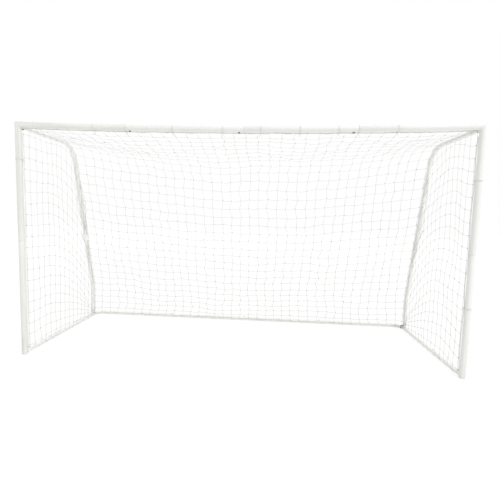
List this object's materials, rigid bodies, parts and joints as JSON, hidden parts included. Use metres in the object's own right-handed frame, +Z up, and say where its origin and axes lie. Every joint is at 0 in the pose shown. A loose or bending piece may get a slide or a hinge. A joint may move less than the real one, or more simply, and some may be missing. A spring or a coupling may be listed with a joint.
{
  "type": "soccer goal",
  "caption": "Free-standing soccer goal: bolted frame of round white tube with sloping stanchions, a ground frame and a knotted net roped to the tubes.",
  "frame": {"origin": "middle of the bounding box at ground level, under the middle of the goal", "axes": "+X runs along the crossbar to the goal's right as seen from the field, +Y points back from the goal mouth to the rear bar, +Z is up"},
  "size_m": [3.7656, 1.4468, 2],
  "materials": {
    "tube_paint": "semi-gloss white powder coat",
    "bolt_steel": "dull dark zinc",
    "cap_plastic": "moulded, faintly yellowed white",
    "sleeve_plastic": "moulded, clean white",
    "rope": "braided, weathered white",
    "net_twine": "twisted, weathered white"
  },
  "bodies": {
    "root": {"crossbar_bolt_left": "bolt_steel", "crossbar_bolt_middle": "bolt_steel", "crossbar_bolt_right": "bolt_steel", "crossbar_left": "tube_paint", "crossbar_right": "tube_paint", "crossbar_tie_1": "rope", "crossbar_tie_2": "rope", "crossbar_tie_3": "rope", "crossbar_tie_4": "rope", "crossbar_tie_5": "rope", "crossbar_tie_6": "rope", "crossbar_tie_7": "rope", "crossbar_tie_8": "rope", "crossbar_tie_9": "rope", "ground_rope": "rope", "head_rope": "rope", "left_corner": "tube_paint", "left_foot_bolt": "bolt_steel", "left_foot_cap": "cap_plastic", "left_ground_corner": "tube_paint", "left_post": "tube_paint", "left_post_bolt": "bolt_steel", "left_post_rope": "rope", "left_side_bar": "tube_paint", "left_side_bolt": "bolt_steel", "left_sleeve_bolt": "bolt_steel", "left_stanchion": "tube_paint", "left_stanchion_bolt": "bolt_steel", "left_stanchion_sleeve": "sleeve_plastic", "left_top_bar": "tube_paint", "left_top_bolt": "bolt_steel", "net_back_left": "net_twine", "net_back_right": "net_twine", "net_left": "net_twine", "net_right": "net_twine", "net_top_left": "net_twine", "net_top_right": "net_twine", "post_tie_1": "rope", "post_tie_2": "rope", "post_tie_3": "rope", "rear_bar_left": "tube_paint", "rear_bar_right": "tube_paint", "rear_bolt_left": "bolt_steel", "rear_bolt_middle": "bolt_steel", "rear_bolt_right": "bolt_steel", "right_corner": "tube_paint", "right_foot_bolt": "bolt_steel", "right_foot_cap": "cap_plastic", "right_ground_corner": "tube_paint", "right_post": "tube_paint", "right_post_bolt": "bolt_steel", "right_post_rope": "rope", "right_side_bar": "tube_paint", "right_side_bolt": "bolt_steel", "right_sleeve_bolt": "bolt_steel", "right_stanchion": "tube_paint", "right_stanchion_bolt": "bolt_steel", "right_stanchion_sleeve": "sleeve_plastic", "right_top_bar": "tube_paint", "right_top_bolt": "bolt_steel"}
  },
  "joints": []
}
